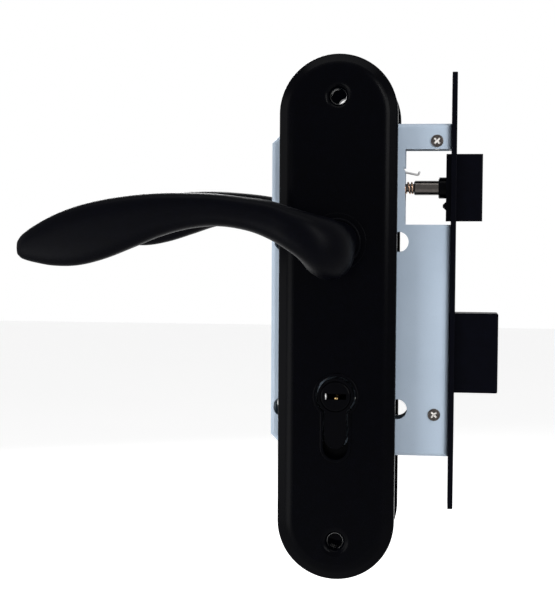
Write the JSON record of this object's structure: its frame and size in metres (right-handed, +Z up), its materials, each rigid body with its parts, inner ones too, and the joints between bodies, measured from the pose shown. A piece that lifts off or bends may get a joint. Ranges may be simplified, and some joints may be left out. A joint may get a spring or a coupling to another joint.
{
  "type": "mortise lockset",
  "caption": "Mortise door lockset: long rounded backplates with wave levers on a sheet steel case with a sprung latch, a thrown deadbolt and a double profile cylinder.",
  "frame": {"origin": "centre of the faceplate's outer face, midway between its two fixing screws", "axes": "+X out of the faceplate towards the strike, +Y through the door from the front (outside) to the back, +Z up along the faceplate"},
  "size_m": [0.2163, 0.1564, 0.2471],
  "materials": {
    "black_coat": "fine matt black powder coat",
    "black_cylinder": "satin black plating",
    "case_sheet": "pale blue-grey enamelled sheet",
    "bright_steel": "zinc plated or turned steel",
    "spring_steel": "drawn spring wire",
    "brass_pins": "turned brass",
    "black_nylon": "moulded nylon"
  },
  "bodies": {
    "lock": {"front_plate": "black_coat", "back_plate": "black_coat", "front_neck_bush": "black_nylon", "back_neck_bush": "black_nylon", "lock_case": "case_sheet", "case_cover": "case_sheet", "case_posts": "bright_steel", "case_screws": "bright_steel", "faceplate": "black_coat", "faceplate_rivets": "black_coat", "follower_bushes": "black_nylon", "follower_stops": "bright_steel", "latch_guide": "bright_steel", "spring_post": "bright_steel", "bolt_guide_post": "bright_steel", "detent_anchor": "bright_steel", "follower_spring": "spring_steel", "latch_spring": "spring_steel", "detent_spring": "spring_steel", "cylinder_body": "black_cylinder", "driver_pins": "bright_steel", "pin_springs": "spring_steel", "chamber_plugs": "bright_steel", "cylinder_screw": "black_coat"},
    "handle": {"front_lever": "black_coat", "back_lever": "black_coat", "grub_screws": "bright_steel", "neck_washers": "bright_steel", "neck_circlips": "spring_steel", "spindle": "bright_steel", "follower": "bright_steel"},
    "latch": {"latch_head": "black_coat", "latch_collar": "black_coat", "latch_shaft": "bright_steel", "latch_tail": "bright_steel", "latch_tail_pin": "bright_steel"},
    "deadbolt": {"deadbolt": "black_coat", "deadbolt_tail": "bright_steel", "deadbolt_rivets": "bright_steel"},
    "front_core": {"front_plug": "black_cylinder", "front_plug_clip": "spring_steel", "front_key_pins": "brass_pins"},
    "rear_core": {"rear_plug": "black_cylinder", "rear_plug_clip": "spring_steel", "rear_key_pins": "brass_pins"},
    "cam": {"cylinder_cam": "bright_steel"}
  },
  "joints": [
    {"name": "handle_turn", "type": "hinge", "parent": "lock", "child": "handle", "pos_m": [-0.055, 0, 0.0235], "axis": [0, -1, 0], "range_deg": [0, 45], "stiffness_Nm_per_rad": 1.2, "springref_deg": -34.38, "deforming": ["follower_spring"]},
    {"name": "latch_slide", "type": "slide", "parent": "lock", "child": "latch", "axis": [1, 0, 0], "range_m": [-0.01296, 0], "deforming": ["latch_spring"]},
    {"name": "deadbolt_slide", "type": "slide", "parent": "lock", "child": "deadbolt", "axis": [1, 0, 0], "range_m": [-0.0206, 0], "deforming": ["detent_spring"]},
    {"name": "front_plug_turn", "type": "hinge", "parent": "lock", "child": "front_core", "pos_m": [-0.055, 0, -0.0485], "axis": [0, -1, 0], "range_deg": [0, 360]},
    {"name": "cam_turn", "type": "hinge", "parent": "lock", "child": "cam", "pos_m": [-0.055, 0, -0.0485], "axis": [0, -1, 0], "range_deg": [0, 360]},
    {"name": "rear_plug_turn", "type": "hinge", "parent": "lock", "child": "rear_core", "pos_m": [-0.055, 0, -0.0485], "axis": [0, -1, 0], "range_deg": [0, 360]}
  ],
  "couplings": [
    {"joint": "latch_slide", "follows": "handle_turn", "m_per_rad": -0.0165},
    {"joint": "front_plug_turn", "follows": "deadbolt_slide", "rad_per_m": -305.01},
    {"joint": "cam_turn", "follows": "deadbolt_slide", "rad_per_m": -305.01}
  ]
}
